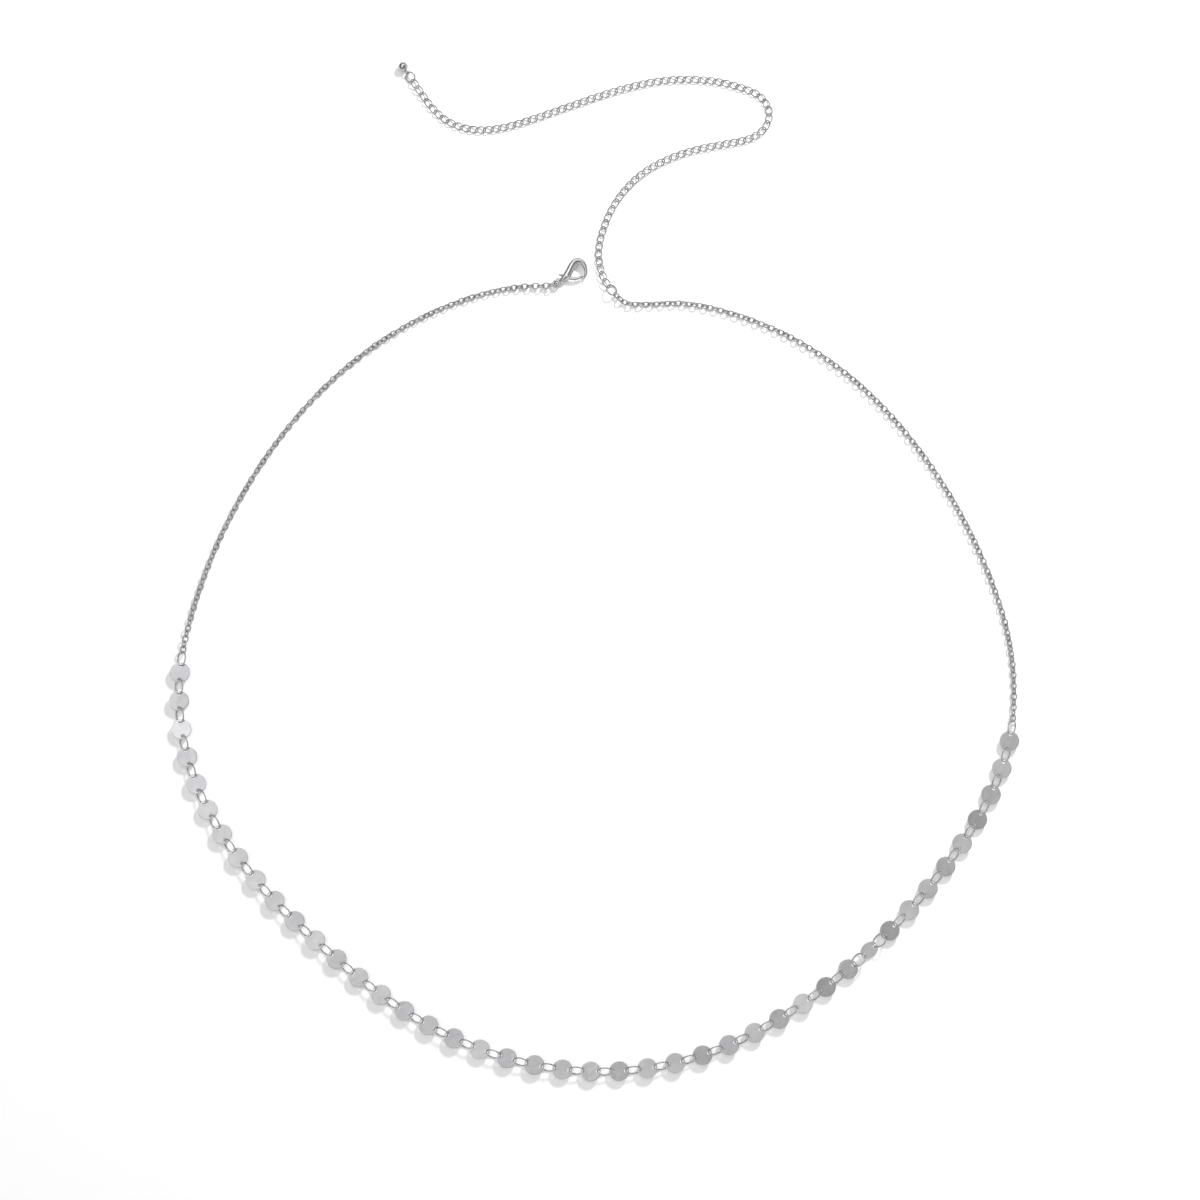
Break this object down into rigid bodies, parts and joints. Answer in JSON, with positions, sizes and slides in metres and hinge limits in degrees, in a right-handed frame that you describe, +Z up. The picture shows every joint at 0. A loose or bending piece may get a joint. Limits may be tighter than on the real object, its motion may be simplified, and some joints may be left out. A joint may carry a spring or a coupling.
{
  "type": "waist chain",
  "caption": "Open waist chain with a lobster clasp, fine cable chain sides, a front row of flat round discs on jump rings, and a curb extender chain with an end ball.",
  "frame": {"origin": "on the surface that the chain lies on, in the middle of the whole chain's outline seen from above", "axes": "+Z up from the surface, +Y from the disc row towards the clasp and the extender, +X to the right as seen from above with the disc row nearest"},
  "size_m": [0.2548, 0.3056, 0.004],
  "materials": {
    "clasp": "polished silver-tone plating",
    "ring": "bright round wire",
    "chain": "bright round wire links",
    "disc": "fine brushed, soft sheen",
    "ball": "mirror polished"
  },
  "bodies": {
    "chain": {"clasp_body": "clasp", "clasp_ring": "ring", "cable_left": "chain", "cable_ring_left": "ring", "disc_01": "disc", "disc_02": "disc", "disc_03": "disc", "disc_04": "disc", "disc_05": "disc", "disc_06": "disc", "disc_07": "disc", "disc_08": "disc", "disc_09": "disc", "disc_10": "disc", "disc_11": "disc", "disc_12": "disc", "disc_13": "disc", "disc_14": "disc", "disc_15": "disc", "disc_16": "disc", "disc_17": "disc", "disc_18": "disc", "disc_19": "disc", "disc_20": "disc", "disc_21": "disc", "disc_22": "disc", "disc_23": "disc", "disc_24": "disc", "disc_25": "disc", "disc_26": "disc", "disc_27": "disc", "disc_28": "disc", "disc_29": "disc", "disc_30": "disc", "disc_31": "disc", "disc_32": "disc", "disc_33": "disc", "disc_34": "disc", "disc_35": "disc", "disc_36": "disc", "disc_37": "disc", "disc_38": "disc", "disc_39": "disc", "disc_40": "disc", "disc_41": "disc", "disc_42": "disc", "disc_43": "disc", "disc_rings": "ring", "cable_ring_right": "ring", "cable_right": "chain", "extender_ring": "ring", "extender_chain": "chain", "end_ring": "ring", "end_ball": "ball"},
    "lever": {"clasp_lever": "clasp"}
  },
  "joints": [
    {"name": "clasp_lever_hinge", "type": "hinge", "parent": "chain", "child": "lever", "pos_m": [-0.00815, 0.08837, 0.0015], "axis": [0, 0, 1], "range_deg": [0, 22], "stiffness_Nm_per_rad": 0.00002}
  ]
}
